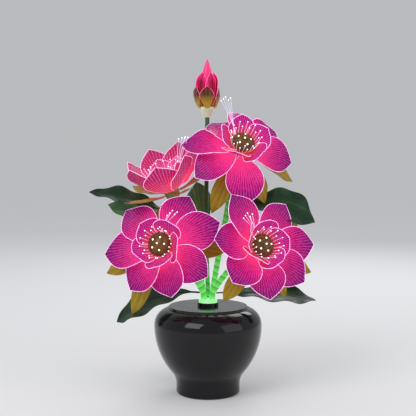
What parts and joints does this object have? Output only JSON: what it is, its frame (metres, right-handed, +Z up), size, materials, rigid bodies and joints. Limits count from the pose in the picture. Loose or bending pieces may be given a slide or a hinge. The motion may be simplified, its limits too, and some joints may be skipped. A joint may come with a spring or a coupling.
{
  "type": "fiber optic lamp",
  "caption": "Decorative lamp: a bouquet of fibre-lit lotus flowers, a bud and leaves plugs into the lid of a round glossy vase that hides a lamp and a turning colour wheel.",
  "frame": {"origin": "middle of the felt pad's underside, where the lamp stands", "axes": "+Z up, -Y is the front, towards which the flowers face, +X to the viewer's right"},
  "size_m": [0.3003, 0.1616, 0.4415],
  "materials": {
    "black_glaze": "glossy black glaze",
    "felt": "pressed felt",
    "black_plastic": "polished black",
    "rubber": "satin",
    "nickel": "bright nickel",
    "red_button": "polished red",
    "steel": "bright zinc plate",
    "motor_steel": "drawn steel can",
    "white_plastic": "satin white",
    "colour_film": "dyed clear film",
    "aluminium": "anodised",
    "lamp_board": "white solder mask",
    "clear_lens": "clear moulded lens",
    "circuit_board": "green board",
    "lit_ferrule": "milky, lit from inside",
    "fibre": "clear light fibre",
    "calyx": "waxed tape, olive green",
    "sepal_cloth": "stiffened cloth, olive to pink",
    "petal_cloth": "fine organza, magenta",
    "inner_petal_cloth": "fine organza, pink",
    "pod_foam": "flocked foam, golden brown",
    "lit_stem": "wound tape, lit from inside",
    "dark_stem": "wound tape, dark green",
    "bud_cup": "pale green, glossy",
    "bud_sepal_cloth": "glossy cloth, olive and brown",
    "bud_petal_cloth": "fine organza, deep pink",
    "leaf_cloth": "coated cloth, dark green"
  },
  "bodies": {
    "base": {"vase": "black_glaze", "felt_pad": "felt", "lid": "black_plastic", "grommet": "rubber", "switch_body": "black_plastic", "switch_nut": "nickel", "standoffs": "steel", "chassis_plate": "steel", "chassis_screws": "steel", "motor": "motor_steel", "motor_screws": "steel", "heat_sink": "aluminium", "led_board": "lamp_board", "lens_holder": "white_plastic", "lens": "clear_lens", "driver_board": "circuit_board"},
    "wheel": {"motor_shaft": "steel", "wheel_hub": "white_plastic", "colour_film": "colour_film"},
    "button": {"button_cap": "red_button"},
    "bouquet": {"ferrule": "lit_ferrule", "fibre_bundle": "fibre", "top_flower_calyx": "calyx", "top_flower_sepals": "sepal_cloth", "top_flower_outer_petals": "petal_cloth", "top_flower_inner_petals": "inner_petal_cloth", "top_flower_pod": "pod_foam", "top_flower_stamens": "fibre", "top_flower_stem": "lit_stem", "left_flower_calyx": "calyx", "left_flower_sepals": "sepal_cloth", "left_flower_outer_petals": "petal_cloth", "left_flower_inner_petals": "inner_petal_cloth", "left_flower_pod": "pod_foam", "left_flower_stamens": "fibre", "left_flower_stem": "lit_stem", "right_flower_calyx": "calyx", "right_flower_sepals": "sepal_cloth", "right_flower_outer_petals": "petal_cloth", "right_flower_inner_petals": "inner_petal_cloth", "right_flower_pod": "pod_foam", "right_flower_stamens": "fibre", "right_flower_stem": "lit_stem", "side_flower_calyx": "calyx", "side_flower_sepals": "sepal_cloth", "side_flower_outer_petals": "petal_cloth", "side_flower_inner_petals": "inner_petal_cloth", "side_flower_pod": "pod_foam", "side_flower_stamens": "fibre", "side_flower_stem": "lit_stem", "bud_cup": "bud_cup", "bud_sepals": "bud_sepal_cloth", "bud_petals": "bud_petal_cloth", "bud_stem": "dark_stem", "left_high_leaf": "leaf_cloth", "left_back_leaf": "leaf_cloth", "right_high_leaf": "leaf_cloth", "left_low_leaf": "leaf_cloth", "right_low_leaf": "leaf_cloth", "middle_back_leaf": "leaf_cloth"}
  },
  "joints": [
    {"name": "wheel_spin", "type": "hinge", "parent": "base", "child": "wheel", "pos_m": [-0.019, 0, 0.083], "axis": [0, 0, 1], "continuous": true},
    {"name": "button_press", "type": "slide", "parent": "base", "child": "button", "axis": [0, -1, 0], "range_m": [0, 0.002], "stiffness_N_per_m": 300},
    {"name": "bouquet_lift", "type": "slide", "parent": "base", "child": "bouquet", "axis": [0, 0, 1], "range_m": [0, 0.04]}
  ]
}
